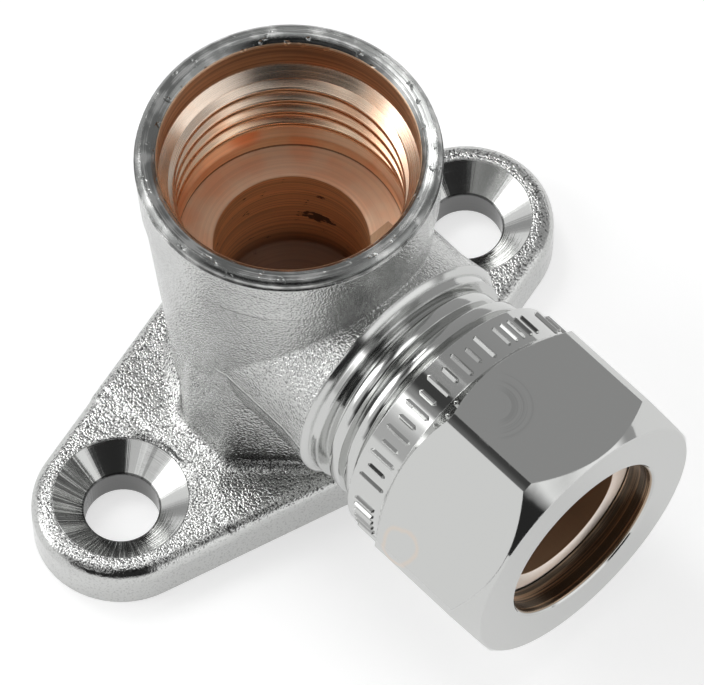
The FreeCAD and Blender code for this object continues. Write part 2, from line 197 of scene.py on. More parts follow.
def new_group(name, inputs, outputs):
    """An empty shader node group with named sockets, its wires, and its inner input and output."""
    group = bpy.data.node_groups.new(name, "ShaderNodeTree")
    for label, kind, default in inputs:
        socket = group.interface.new_socket(label, in_out="INPUT", socket_type=SOCKET_KINDS[kind])
        socket.default_value = default
    for label, kind in outputs:
        group.interface.new_socket(label, in_out="OUTPUT", socket_type=SOCKET_KINDS[kind])
    wires = Wires(group)
    return group, wires, wires.node("NodeGroupInput").outputs, wires.node("NodeGroupOutput").inputs


def use_group(wires, group, **values):
    """A group placed in a material with its own values; spaces in socket names are underscores here."""
    inputs = {name.replace("_", " "): value for name, value in values.items()}
    return wires.node("ShaderNodeGroup", inputs, node_tree=group).outputs


print("kinds of socket:", ", ".join(SOCKET_KINDS))

# %% [markdown]
# ## Finding the turned faces
# Most faces of a fitting are round about one of four axes: the socket, the outlet and the two screw holes.
# A distance from an axis is enough to tell a bore from an outer wall, with no painted mask to keep in step
# with the shape. The group measures it, and adds how far the point lies along the axis: that sum numbers the
# cuts of a lathe, on walls and on flat ends alike. The plate's two ends are alike, so one screw axis will do
# for both.

# %% group for distances
SOCKET_AXIS = {"Centre": ORIGIN, "Across": (1, 1, 0), "Along": (0, 0, 1)}
OUTLET_AXIS = {"Centre": (0, 0, OUTLET_HEIGHT), "Across": (0, 1, 1), "Along": (1, 0, 0)}
SCREW_AXIS = {"Centre": (0, SCREW_REACH, 0), "Across": (1, 1, 0), "Along": (0, 0, 1)}


def distance_group():
    """Distance from an axis through a centre; Across is 1 for each direction that counts."""
    group, wires, given, result = new_group(
        "distance from axis",
        [("Position", "vector", ORIGIN), ("Centre", "vector", ORIGIN), ("Across", "vector", (1, 1, 0)),
         ("Along", "vector", (0, 0, 1))],
        [("Distance", "value"), ("Profile", "value")])
    away = wires.vector("SUBTRACT", given["Position"], given["Centre"])
    radius = wires.vector("LENGTH", wires.vector("MULTIPLY", away, given["Across"]))
    along = wires.vector("DOT_PRODUCT", away, given["Along"])
    wires.feed(result["Distance"], radius)
    wires.feed(result["Profile"], wires.plus(radius, along))
    return group


DISTANCE = distance_group()
print("group:", DISTANCE.name)

# %% [markdown]
# A window makes a mask out of any measure: 1 between two limits, 0 outside, with edges soft enough to look
# like a worn border and not like a cut.

# %% group for windows
SOFT_EDGE = 0.05 * MM
NO_LIMIT = 1.0


def window_group():
    """1 between two limits, 0 outside, with soft edges."""
    group, wires, given, result = new_group(
        "window",
        [("Measure", "value", 0), ("From", "value", 0), ("To", "value", 1), ("Softness", "value", 0.0001)],
        [("Mask", "value")])
    rise = wires.math("DIVIDE", wires.math("SUBTRACT", given["Measure"], given["From"]), given["Softness"])
    fall = wires.math("DIVIDE", wires.math("SUBTRACT", given["To"], given["Measure"]), given["Softness"])
    wires.feed(result["Mask"], wires.ramp(wires.math("MINIMUM", rise, fall), -0.5, 0.5))
    return group


def within(wires, measure, low=-NO_LIMIT, high=NO_LIMIT, softness=SOFT_EDGE):
    """The mask of a window; a limit that isn't given is a metre away."""
    return use_group(wires, WINDOW, Measure=measure, From=low, To=high, Softness=softness)["Mask"]


WINDOW = window_group()
print("group:", WINDOW.name)

# %% [markdown]
# ## Marks of the lathe
# A lathe leaves fine rings that follow the cut. They are random across the cut and even along it, so a noise
# texture is read along the profile only, and drifts a little round the axis. Fine and broad rings lie over
# each other, as they do where the tool was fed unevenly.

# %% group for turned rings
RING_DRIFT = 60
BROAD_SCALE = 0.21
FINE_SHARE = 0.6
BROAD_SHARE = 0.4


def rings_group():
    """Fine rings along a profile, as a height in millimetres and as a shade from 0 to 1."""
    group, wires, given, result = new_group(
        "turned rings",
        [("Position", "vector", ORIGIN), ("Profile", "value", 0), ("Spacing", "value", 0.1),
         ("Depth", "value", 0.002)],
        [("Height", "value"), ("Shade", "value")])
    lines = wires.math("DIVIDE", wires.math("DIVIDE", given["Profile"], MM), given["Spacing"])
    x, y, _ = wires.split(given["Position"])
    place = wires.join(lines, wires.times(x, RING_DRIFT), wires.times(y, RING_DRIFT))
    fine = wires.times(wires.noise(place, 1.0, 1.0), FINE_SHARE)
    broad = wires.times(wires.noise(place, BROAD_SCALE, 1.0), BROAD_SHARE)
    shade = wires.plus(fine, broad)
    wires.feed(result["Shade"], shade)
    wires.feed(result["Height"], wires.times(shade, given["Depth"]))
    return group


RINGS = rings_group()
print("group:", RINGS.name)

# %% [markdown]
# ## Grain of the blasting
# The forging was blasted clean before it was plated. That leaves small dimples with no direction, and the
# deepest of them are given painted shade. The height goes to a Bump node, which tilts the surface that light
# sees: dimples a fifth of a millimetre wide would need millions of faces as a mesh.

# %% group for blasted grain
DEEP_DIMPLES = (0.46, 0.34)


def grain_group():
    """Dimples of a blasted surface, as a height in millimetres and as a mask of painted shade in the deepest
    ones.
    """
    group, wires, given, result = new_group(
        "blasted grain",
        [("Position", "vector", ORIGIN), ("Grain", "value", 0.2), ("Depth", "value", 0.01)],
        [("Height", "value"), ("Pit Shade", "value")])
    per_metre = wires.math("DIVIDE", 1 / MM, given["Grain"])
    dimples = wires.noise(given["Position"], per_metre, 1.0)
    wires.feed(result["Height"], wires.times(dimples, given["Depth"]))
    wires.feed(result["Pit Shade"], wires.ramp(dimples, *DEEP_DIMPLES))
    return group


GRAIN = grain_group()
print("group:", GRAIN.name)

# %% [markdown]
# ## Finishes
# Chrome plate is a plain bright metal: its look comes from the room that it mirrors. The blasted forging is
# the same plate on a dimpled skin, so its reflections break up into sparkle. Inside the socket the plate
# thins out with depth, and the copper colour of the brass takes over.

# %% colours
CHROME = (0.60, 0.605, 0.595, 1)
RIM_GREY = (0.25, 0.255, 0.25, 1)
SHADE = (0.12, 0.12, 0.12, 1)
THIN_PLATE = (0.86, 0.74, 0.64, 1)
COPPER = (1.0, 0.60, 0.38, 1)
COPPER_PALE = (1.0, 0.74, 0.53, 1)
COPPER_RED = (0.92, 0.36, 0.18, 1)
COPPER_DARK = (1.0, 0.54, 0.26, 1)
STAIN = (0.12, 0.055, 0.03, 1)
OLIVE_BROWN = (0.84, 0.60, 0.41, 1)
# brown of the nut's hole, made very dark as painted shade
SHADED_HOLE_BROWN = (0.19, 0.165, 0.135, 1)
PIPE_BROWN = (0.52, 0.34, 0.21, 1)
RING_BRASS = (1.0, 0.90, 0.82, 1)
print("chrome", CHROME[:3], "and copper", COPPER[:3])

# %% [markdown]
# Every finish is one metal shader. Its surface is tilted by a height, and a Bevel node can round the sharp
# edges under that height without any change to the solid.

# %% helpers for materials
def new_material(name):
    """A material with one metal shader; gives the material, its wires, its shader and the object's place."""
    material = bpy.data.materials.new(name)
    material.use_nodes = True
    material.node_tree.nodes.clear()
    wires = Wires(material.node_tree)
    shader = wires.node("ShaderNodeBsdfPrincipled", {"Metallic": 1.0})
    wires.node("ShaderNodeOutputMaterial", {"Surface": shader.outputs[0]})
    place = wires.node("ShaderNodeTexCoord").outputs["Object"]
    return material, wires, shader, place


def bump(wires, shader, height, soften=None):
    """Tilt the shader's surface by a height in millimetres, and round the edges under it by a radius."""
    inputs = {"Height": height, "Distance": MM}
    if soften is not None:
        inputs["Normal"] = wires.node("ShaderNodeBevel", {"Radius": soften}, samples=4).outputs[0]
    wires.feed(shader.inputs["Normal"], wires.node("ShaderNodeBump", inputs).outputs[0])


def dress(node, finish):
    """Give a solid of the frame its finish."""
    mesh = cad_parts[node].data
    mesh.materials.clear()
    mesh.materials.append(finish)
    print(node, "wears", finish.name)


# %% [markdown]
# ### Copper of the bores
# The colour inside the socket changes with depth. The counterbore is olive brown, the first turns of the
# thread are still thinly plated, the lower turns and the flat stop are pale copper, and the drilled bore at
# the bottom is stained and darkened by painted shade. One worn place on the last turn is red, and a line of
# painted shade runs in the corner round the stop. One group will hold these colours, because the elbow and
# its thread share them.

# %% copper of the threaded wall
STOP = SOCKET_RIM - 14.6 * MM
MOUTH_END = SOCKET_RIM - 3.7 * MM
PLATED_FROM = STOP + 4 * MM
FAR_SIDE = (-6 * MM, 9 * MM)
SHADED_CORNER_LINE = (STOP + 0.03 * MM, STOP + 0.3 * MM, 0.1 * MM)
COUNTERBORE = (MOUTH_END + 0.1 * MM, MOUTH_END + 0.5 * MM)
WORN_PLACE = (-9.2 * MM, 3.4 * MM, 25.4 * MM)
WORN_REACH = 2.4 * MM
PATCH_SCALE = 260
CORNER_SHADE = 0.8


def near(wires, position, place, reach, stretch):
    """1 close to a place, fading to 0 at the reach; a larger stretch makes that direction shorter."""
    away = wires.vector("MULTIPLY", wires.vector("SUBTRACT", position, place), stretch)
    return wires.ramp(wires.vector("LENGTH", away), reach, 0.3 * reach)


def thread_copper(wires, position):
    """Colour of the socket's wall above the stop: patchy copper under plate that thins with depth."""
    x, y, z = wires.split(position)
    patch = wires.noise(position, PATCH_SCALE, 3.0)
    copper = wires.tint(wires.ramp(patch, 0.35, 0.65), COPPER, COPPER_PALE)
    plated = wires.times(wires.ramp(z, PLATED_FROM, MOUTH_END), wires.ramp(patch, 0.3, 0.6, 0.25, 0.8))
    side = wires.ramp(wires.plus(x, y), *FAR_SIDE, 1.0, 0.45)
    wall = wires.tint(wires.times(plated, side), copper, THIN_PLATE)
    worn = near(wires, position, WORN_PLACE, WORN_REACH, (1, 1, 1.6))
    wall = wires.tint(wires.times(worn, wires.ramp(patch, 0.3, 0.5)), wall, COPPER_RED)
    # painted shade: a dark line in the corner where the wall meets the stop
    wall = wires.tint(wires.times(within(wires, z, *SHADED_CORNER_LINE), CORNER_SHADE), wall, STAIN)
    return wires.tint(wires.ramp(z, *COUNTERBORE), wall, OLIVE_BROWN)


print(f"stop at {STOP / MM:.1f} mm, counterbore from {MOUTH_END / MM:.1f} mm")

# %% [markdown]
# Below the stop the drill left a duller wall. Dirt settles there in flat spots, most of all in one place, and
# painted shade makes the bottom of the bore nearly black.

# %% group for the colour of the bores
DIRTY_PLACE = (-3.3 * MM, 5.7 * MM, 17.0 * MM)
DIRTY_REACH = 3.2 * MM
DIRTY_SHARE = 0.18
SPOT_SCALE = 600
BOTTOM_SHADE = (STOP - 7 * MM, STOP - 11 * MM)
STOP_LIP = (STOP - 0.15 * MM, STOP - 0.05 * MM)
STOP_FLAT = (STOP + 0.1 * MM, STOP + 0.4 * MM)


def drilled_copper(wires, position):
    """Colour of the drilled bore under the stop: dark copper with spots of dirt, and painted shade at the
    bottom.
    """
    z = wires.split(position)["Z"]
    dirty = wires.times(near(wires, position, DIRTY_PLACE, DIRTY_REACH, (1, 1, 2.6)), DIRTY_SHARE)
    flattened = wires.vector("MULTIPLY", position, (1, 1, 2.2))
    spots = wires.plus(wires.noise(flattened, SPOT_SCALE, 4.0, 0.65), dirty)
    wall = wires.tint(wires.ramp(spots, 0.65, 0.71), COPPER_DARK, STAIN)
    # painted shade: the bore darkens to nearly black towards its bottom
    return wires.tint(wires.ramp(z, *BOTTOM_SHADE, 0.0, 0.9), wall, STAIN)


def bore_colour_group():
    """Colour inside the socket, and how metallic it is: a dull film lies on the stop and below it."""
    group, wires, given, result = new_group(
        "bore colour", [("Position", "vector", ORIGIN)], [("Colour", "colour"), ("Metal", "value")])
    position = given["Position"]
    z = wires.split(position)["Z"]
    upper = wires.ramp(z, *STOP_LIP)
    colour = wires.tint(upper, drilled_copper(wires, position), thread_copper(wires, position))
    wires.feed(result["Colour"], colour)
    wires.feed(result["Metal"], wires.blend(upper, 0.0, wires.ramp(z, *STOP_FLAT, 0.3, 1.0)))
    return group


BORE_COLOUR = bore_colour_group()
print("group:", BORE_COLOUR.name)

# %% [markdown]
# ### Zones of the elbow
# One solid shows three finishes, so its material works out where it is. Inside the two bores it is bare. On
# the rim, the shoulder, the spigot and the countersinks it is turned and bright. Everywhere else it is
# blasted, and the plate has the coarsest look. Each zone is a distance from an axis, a height, or both.

# %% zones of the elbow
MOUTH_EDGE = 10.95 * MM
LOWER_EDGE = 10.2 * MM
EDGE_CHANGE = (20 * MM, 21 * MM)
BORE_FLOOR = 7 * MM
OUTLET_EDGE = 8.9 * MM
WATERWAY = 4 * MM
RIM_DEPTH = 0.95 * MM
SHOULDER = 12.8 * MM
SHOULDER_EDGE = 11.3 * MM
SINK_EDGE = 6.3 * MM
SCREW_EDGE = 3.4 * MM
UNDERSIDE = 0.1 * MM
PLATE_TOP = 4.45 * MM
PLATE_FADE = (7.4 * MM, 5.6 * MM)


def elbow_zones(wires, place):
    """Measures of a point on the elbow, and the masks of its zones."""
    x, y, z = wires.split(place)
    far = wires.math("ABSOLUTE", y)
    mirrored = wires.join(x, far, z)
    socket = use_group(wires, DISTANCE, Position=place, **SOCKET_AXIS)
    outlet = use_group(wires, DISTANCE, Position=place, **OUTLET_AXIS)
    screw = use_group(wires, DISTANCE, Position=mirrored, **SCREW_AXIS)
    edge = wires.ramp(z, *EDGE_CHANGE, LOWER_EDGE, MOUTH_EDGE)
    inside = wires.math("LESS_THAN", socket["Distance"], edge)
    in_socket = wires.times(inside, within(wires, z, low=BORE_FLOOR))
    in_outlet = within(wires, outlet["Distance"], high=OUTLET_EDGE)
    in_outlet = wires.times(in_outlet, within(wires, x, low=WATERWAY))
    rim = within(wires, z, low=SOCKET_RIM - RIM_DEPTH)
    ring = within(wires, outlet["Distance"], high=SHOULDER_EDGE)
    ring = wires.times(ring, within(wires, x, low=SHOULDER))
    sink = within(wires, screw["Distance"], high=SINK_EDGE)
    sink = wires.times(sink, within(wires, z, UNDERSIDE, PLATE_TOP))
    profile = wires.blend(wires.largest(ring, in_outlet), socket["Profile"], outlet["Profile"])
    return SimpleNamespace(
        x=x, y=y, z=z, far=far, mirrored=mirrored, in_outlet=in_outlet, rim=rim, sink=sink,
        bare=wires.largest(in_socket, in_outlet),
        turned=wires.largest(rim, ring, sink),
        screw_hole=within(wires, screw["Distance"], high=SCREW_EDGE),
        plate=wires.ramp(z, *PLATE_FADE),
        profile=wires.blend(sink, profile, screw["Profile"]))


print(f"countersinks reach {SINK_EDGE / MM:.1f} mm from their axes")
print(f"the rim is bright for {RIM_DEPTH / MM:.2f} mm down")

# %% [markdown]
# ### Skin of the forging
# The blasted skin has several scales: the grain itself, its depth that changes from place to place, a slow
# swell, and the lines that the forging dies left. One is a faint seam along both sides of the branch. Two
# more cross the plate on each side, where its raised middle begins. The rounded edge of the plate was rubbed
# nearly smooth, and the painted shade in the pits is darkest on top of the plate.

# %% blasted skin
PATCHY_SCALE = 180
SWELL_SCALE = 700
SWELL_HEIGHT = 0.05
BODY_GRAIN = 0.20
PLATE_GRAIN = 0.19
PLATE_DEPTH = 0.08
BODY_HEIGHTS = (24 * MM, 34 * MM)
BODY_DEPTHS = (0.16, 0.09)
ROUNDED_EDGE = (4.2 * MM, PLATE_TOP)
FLAT_TOP = (4.0 * MM, PLATE_TOP)
PIT_SHADE_SHARES = (0.22, 0.9)
SEAM_HALF = 0.16 * MM
SEAM_SOFTNESS = 0.3 * MM
SEAM_START = (1 * MM, 3 * MM)
SEAM_HEIGHT = 0.1
CREASE_OUTER = (15.75 * MM, 15.5 * MM)
CREASE_INNER = (15.2 * MM, 15.4 * MM)
CREASE_HEIGHT = 0.10
CREST_OUTER = (14.4 * MM, 13.9 * MM)
CREST_INNER = (8.0 * MM, 13.9 * MM)
CREST_HEIGHT = 0.22
LINES_END = (7 * MM, 4 * MM)


def plate_lines(wires, zone):
    """Height of the two lines across the plate, where its raised middle begins."""
    crease = wires.times(wires.ramp(zone.far, *CREASE_OUTER), wires.ramp(zone.far, *CREASE_INNER))
    crest = wires.times(wires.ramp(zone.far, *CREST_OUTER), wires.ramp(zone.far, *CREST_INNER))
    lines = wires.plus(wires.times(crease, CREASE_HEIGHT), wires.times(crest, CREST_HEIGHT))
    return wires.times(lines, wires.ramp(zone.x, *LINES_END), zone.plate)


def branch_seam(wires, zone):
    """Height of the seam where the two dies met."""
    line = within(wires, zone.z, OUTLET_HEIGHT - SEAM_HALF, OUTLET_HEIGHT + SEAM_HALF, SEAM_SOFTNESS)
    return wires.times(line, wires.ramp(zone.x, *SEAM_START, 0.0, SEAM_HEIGHT))


def blasted_skin(wires, place, zone):
    """Height of the forging's skin, and the painted shade of its pits."""
    patchy = wires.ramp(wires.noise(place, PATCHY_SCALE), 0.3, 0.7, 0.7, 1.2)
    depth = wires.blend(zone.plate, wires.ramp(zone.z, *BODY_HEIGHTS, *BODY_DEPTHS), PLATE_DEPTH)
    depth = wires.times(depth, patchy, wires.ramp(zone.z, *ROUNDED_EDGE, 0.22, 1.0))
    size = wires.blend(zone.plate, BODY_GRAIN, PLATE_GRAIN)
    grain = use_group(wires, GRAIN, Position=place, Grain=size, Depth=depth)
    swell = wires.times(wires.noise(place, SWELL_SCALE), SWELL_HEIGHT)
    height = wires.plus(grain["Height"], branch_seam(wires, zone), swell, plate_lines(wires, zone))
    top = wires.times(zone.plate, wires.ramp(zone.z, *FLAT_TOP))
    # painted shade in the deepest dimples, darkest on top of the plate
    return height, wires.times(grain["Pit Shade"], wires.ramp(top, 0, 1, *PIT_SHADE_SHARES))


print(f"grain of {BODY_GRAIN} mm on the body and {PLATE_GRAIN} mm on the plate")

# %% [markdown]
# ### Cuts on the elbow
# Turned faces carry the lathe's rings. The rim has small nicks as well, and the cutter chattered in one
# countersink, which left lines from the middle to the edge. They are noise read by direction only, so each
# line runs straight out from the axis.

# %% cuts
RING_SPACING = 0.15
PLATED_RINGS = 0.012
BARE_RINGS = 0.014
RIM_RINGS = 0.02
NICK_SCALE = 900
NICK_HEIGHT = -0.10
SPOKE_SCALE = 16
CHATTER_PLACE = (-20 * MM, -24 * MM)
CHATTER_HEIGHTS = (0.01, 0.30)


def sink_spokes(wires, zone):
    """Random lines that run from the middle of a countersink to its edge."""
    away = wires.vector("SUBTRACT", zone.mirrored, SCREW_AXIS["Centre"])
    away = wires.vector("MULTIPLY", away, SCREW_AXIS["Across"])
    return wires.noise(wires.vector("NORMALIZE", away), SPOKE_SCALE)


def cut_faces(wires, place, zone, spokes):
    """Height of the turned faces, and the shade of their rings."""
    depth = wires.blend(zone.rim, wires.blend(zone.bare, PLATED_RINGS, BARE_RINGS), RIM_RINGS)
    rings = use_group(wires, RINGS, Position=place, Profile=zone.profile, Spacing=RING_SPACING, Depth=depth)
    nicks = wires.ramp(wires.noise(place, NICK_SCALE, 2.0, 0.6), 0.60, 0.72, 0.0, NICK_HEIGHT)
    chatter = wires.times(spokes, wires.ramp(zone.y, *CHATTER_PLACE, *CHATTER_HEIGHTS))
    height = wires.plus(rings["Height"], wires.times(zone.rim, nicks), wires.times(zone.sink, chatter))
    return height, rings["Shade"]


print(f"rings {RING_SPACING} mm apart")

# %% [markdown]
# ### Colours of the elbow
# Bare walls are copper with stained rings. Plated walls are chrome, greyer where the rim was brushed, and
# carry painted shade in the pits, along the chatter lines and down the screw holes, where little light comes
# in.

# %% colours of the elbow
LIP_OF_MOUTH = (MOUTH_END - 1 * MM, MOUTH_END)
DRILLED_STREAKS = 0.38
THREAD_STREAKS = 0.10
MOUTH_STREAKS = 0.45
BRUSH_SCALE = 500
CHATTER_SHADE_PLACE = (-21 * MM, -23 * MM)
HOLE_SHADE = 0.85


def bare_colour(wires, zone, copper, shade):
    """Copper in the socket and pipe brown in the outlet, with stained rings."""
    colour = wires.tint(zone.in_outlet, copper, PIPE_BROWN)
    above = wires.ramp(zone.z, *LIP_OF_MOUTH, THREAD_STREAKS, MOUTH_STREAKS)
    share = wires.blend(wires.ramp(zone.z, *STOP_LIP), DRILLED_STREAKS, above)
    return wires.tint(wires.times(wires.ramp(shade, 0.4, 0.6), share), colour, STAIN)


def plated_colour(wires, place, zone, pit_shade, spokes, shade):
    """Chrome, grey on the brushed rim, with painted shade in pits, chatter lines and screw holes."""
    brushed = wires.ramp(wires.plus(shade, wires.noise(place, BRUSH_SCALE)), 0.93, 1.22, 1.0, 0.0)
    chrome = wires.tint(wires.times(zone.rim, brushed), CHROME, RIM_GREY)
    # painted shade along the chatter lines on one side of the front countersink
    lines = wires.times(wires.ramp(spokes, 0.46, 0.56, 0.0, 0.75), wires.ramp(zone.y, *CHATTER_SHADE_PLACE))
    # painted shade: the deepest dimples and the chatter lines are tinted towards the shade colour
    painted_shade = wires.largest(wires.times(zone.sink, lines), wires.blend(zone.turned, pit_shade, 0.0))
    chrome = wires.tint(painted_shade, chrome, SHADE)
    return wires.tint(wires.times(zone.screw_hole, HOLE_SHADE), chrome, SHADE)


print("brown of the outlet:", PIPE_BROWN[:3])

# %% [markdown]
# ### The elbow's own finish
# Now the zones choose among the skin, the cuts and the colours. Turned chrome is smoother than the brushed
# rim, and bare brass is the dullest. The sharp edges of the solid are rounded by a third of a millimetre, as
# forging and tumbling leave them.

# %% finish of the elbow
EDGE_RADIUS = 0.35 * MM
BODY_ROUGHNESS = 0.15
PLATE_ROUGHNESS = 0.09
TURNED_ROUGHNESS = 0.11
RIM_ROUGHNESS = 0.22
BARE_ROUGHNESS = 0.40
OUTLET_METAL = 0.45


def elbow_finish():
    """Blasted chrome with turned faces and bare bores."""
    material, wires, shader, place = new_material("plated forging")
    zone = elbow_zones(wires, place)
    skin, pit_shade = blasted_skin(wires, place, zone)
    spokes = sink_spokes(wires, zone)
    cut, shade = cut_faces(wires, place, zone, spokes)
    machined = wires.largest(zone.bare, zone.turned)
    bump(wires, shader, wires.blend(machined, skin, cut), EDGE_RADIUS)

    forged = wires.blend(zone.plate, BODY_ROUGHNESS, PLATE_ROUGHNESS)
    turned = wires.blend(zone.rim, TURNED_ROUGHNESS, RIM_ROUGHNESS)
    plated = wires.blend(zone.turned, forged, turned)
    wires.feed(shader.inputs["Roughness"], wires.blend(zone.bare, plated, BARE_ROUGHNESS))

    copper = use_group(wires, BORE_COLOUR, Position=place)
    metal = wires.blend(zone.in_outlet, copper["Metal"], OUTLET_METAL)
    wires.feed(shader.inputs["Metallic"], wires.blend(zone.bare, 1.0, metal))
    outside = plated_colour(wires, place, zone, pit_shade, spokes, shade)
    inside = bare_colour(wires, zone, copper["Colour"], shade)
    wires.feed(shader.inputs["Base Color"], wires.tint(zone.bare, outside, inside))
    return material


dress("elbow_body", elbow_finish())

# %% [markdown]
# ### The nut
# The nut is milled from bar and polished before plating, so it is close to a mirror. Its edges are a little
# rounded and nicked, which the Bevel node shows by a radius that jumps from place to place. Only the wall of
# its hole is dull and brown, and its brown is darkened with painted shade.
# Handling has left faint arcs on one flat and a dried water mark on the next. Both are found by their
# distance from one place, and both are faint, because a mirror shows far more of the room than of itself.

# %% handled chrome
RUBBED_PLACE = (25.8 * MM, -1.5 * MM, 30.6 * MM)
RUBBED_BAND = (1.2 * MM, 3.4 * MM, 0.8 * MM)
RUBBED_HALF = (24.6 * MM, 26.4 * MM)
RUBBED_SHARE = 0.16
STAINED_PLACE = (26.6 * MM, -12.7 * MM, 21.6 * MM)
STAINED_BAND = (2.1 * MM, 2.4 * MM, 0.3 * MM)
STAINED_SHARE = 0.25
STAIN_WAVES = 1.2 * MM
WAVE_SCALE = 400
NUT_SPACING = 0.2


def handled_chrome(wires, place):
    """Chrome with a rubbed place on one flat and a dried water mark on the next."""
    x, y, _ = wires.split(place)
    away = wires.vector("LENGTH", wires.vector("SUBTRACT", place, RUBBED_PLACE))
    arcs = use_group(wires, RINGS, Position=place, Profile=away, Spacing=NUT_SPACING)["Shade"]
    half = wires.ramp(wires.plus(x, y), *RUBBED_HALF, 0.0, RUBBED_SHARE)
    rubbed = wires.times(within(wires, away, *RUBBED_BAND), wires.ramp(arcs, 0.48, 0.62), half)
    spot = wires.vector("LENGTH", wires.vector("SUBTRACT", place, STAINED_PLACE))
    wavy = wires.plus(spot, wires.times(wires.noise(place, WAVE_SCALE), STAIN_WAVES))
    stain = wires.times(within(wires, wavy, *STAINED_BAND), STAINED_SHARE)
    return wires.tint(stain, wires.tint(rubbed, CHROME, SHADE), OLIVE_BROWN)


print("rubbed place and water mark on two flats")

# %% [markdown]
# The nut's own material joins the handled chrome outside to the brown wall of the hole, darkened by painted
# shade.

# %% finish of the nut
NUT_BORE_EDGE = 7.95 * MM
NUT_BORE_SOFTNESS = 0.08 * MM
NUT_RINGS = 0.04
RIPPLE_SCALE = 250
RIPPLE_HEIGHT = 0.004
WEAR_SCALE = 800
WORN_RADII = (0.10 * MM, 0.26 * MM)
POLISHED_ROUGHNESS = 0.06
HOLE_ROUGHNESS = 0.22


def nut_finish():
    """Bright chrome outside, brown darkened with painted shade in the hole."""
    material, wires, shader, place = new_material("polished chrome")
    outlet = use_group(wires, DISTANCE, Position=place, **OUTLET_AXIS)
    bare = within(wires, outlet["Distance"], high=NUT_BORE_EDGE, softness=NUT_BORE_SOFTNESS)
    rings = use_group(wires, RINGS, Position=place, Profile=outlet["Profile"], Spacing=NUT_SPACING,
                      Depth=NUT_RINGS)
    ripple = wires.times(wires.noise(place, RIPPLE_SCALE, 1.0), RIPPLE_HEIGHT)
    wear = wires.ramp(wires.noise(place, WEAR_SCALE), 0.58, 0.68, *WORN_RADII)
    bump(wires, shader, wires.blend(bare, ripple, rings["Height"]), wear)
    wires.feed(shader.inputs["Roughness"], wires.blend(bare, POLISHED_ROUGHNESS, HOLE_ROUGHNESS))
    # painted shade: the hole wall is a dark brown with lighter scratched rings
    shaded_wall = wires.tint(wires.ramp(rings["Shade"], 0.45, 0.65), SHADED_HOLE_BROWN, OLIVE_BROWN)
    wires.feed(shader.inputs["Base Color"], wires.tint(bare, handled_chrome(wires, place), shaded_wall))
    return material


NUT_FINISH = nut_finish()
dress("compression_nut", NUT_FINISH)

# %% [markdown]
# ### The olive and the threads
# These are turned all over, so they share one recipe: fine rings that change the height and the roughness.
# A small function gives each its own colour. The olive is bare brass and its end is dished towards the pipe,
# which a slope added to the height shows.

# %% finishes of the olive and the threads
TURNED_SPACING = 0.11
OLIVE_BORE_EDGE = 6.15 * MM


def turned_metal(name, colour, roughness, depth, axis, dish=0.0):
    """A turned metal with fine rings; a dish tilts faces that look along the axis towards it."""
    material, wires, shader, place = new_material(name)
    turned = use_group(wires, DISTANCE, Position=place, **axis)
    rings = use_group(wires, RINGS, Position=place, Profile=turned["Profile"], Spacing=TURNED_SPACING,
                      Depth=depth)
    bump(wires, shader, wires.plus(rings["Height"], wires.times(turned["Distance"], dish / MM)))
    wires.feed(shader.inputs["Roughness"], wires.ramp(rings["Shade"], 0.3, 0.7, roughness, roughness * 1.5))
    base, metal = colour(wires, place, turned["Distance"])
    wires.feed(shader.inputs["Base Color"], base)
    wires.feed(shader.inputs["Metallic"], metal)
    return material


def plain_chrome(wires, place, distance):
    """Chrome all over."""
    return CHROME, 1.0


def bore_colour(wires, place, distance):
    """The bores' own colours."""
    copper = use_group(wires, BORE_COLOUR, Position=place)
    return copper["Colour"], copper["Metal"]


def olive_colour(wires, place, distance):
    """Bright brass with a dark bore."""
    face = wires.ramp(distance, OLIVE_BORE_EDGE - SOFT_EDGE, OLIVE_BORE_EDGE)
    return wires.tint(face, PIPE_BROWN, RING_BRASS), wires.blend(face, OUTLET_METAL, 1.0)


OUTLET_THREAD_FINISH = turned_metal("turned chrome", plain_chrome, 0.10, 0.005, OUTLET_AXIS)
SOCKET_THREAD_FINISH = turned_metal("cut copper", bore_colour, 0.20, 0.006, SOCKET_AXIS)
dress("olive", turned_metal("bare brass", olive_colour, 0.28, 0.01, OUTLET_AXIS, dish=0.45))

# %% [markdown]
# ## Pieces made here
# A piece that the solids leave out is a mesh from plain lists of points and faces. It rides on the body that
# carries it, so it moves with the joints.
# Points are placed round an axis, because every one of these pieces was turned or wraps round something
# turned.

# %% helpers for pieces
def new_piece(name, vertices, faces, finish, body):
    """A smooth mesh piece that rides on a body."""
    mesh = bpy.data.meshes.new(name)
    mesh.from_pydata(vertices, [], faces)
    mesh.polygons.foreach_set("use_smooth", [True] * len(mesh.polygons))
    mesh.materials.append(finish)
    mesh.update()
    piece = bpy.data.objects.new(name, mesh)
    bpy.context.scene.collection.objects.link(piece)
    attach(piece, body)
    print(f"{name}: {len(faces)} faces")
    return piece


def about_outlet(radius, angle, along):
    """A point round the outlet's axis; the angle goes from +Y to +Z."""
    return (along, radius * math.cos(angle), OUTLET_HEIGHT + radius * math.sin(angle))


def about_socket(radius, angle, along):
    """A point round the socket's axis; the angle goes from +X to +Y."""
    return (radius * math.cos(angle), radius * math.sin(angle), along)


# %% [markdown]
# ## Screw threads
# A thread is one ridge wound round a cylinder, moving along the axis by one pitch a turn. Winding its section
# step by step gives a closed mesh; a Screw modifier would leave its ends open. The sharp section is a low
# hill that leaves the wall bare between two turns. The blunt section of the outlet fills the whole pitch: a
# broad crest, a steep flank and a narrow groove. Each section is given by its right half, as places in
# pitches and heights in shares of the ridge. At both ends the ridge sinks back into the wall, as it does
# where the cutting tool enters and leaves.

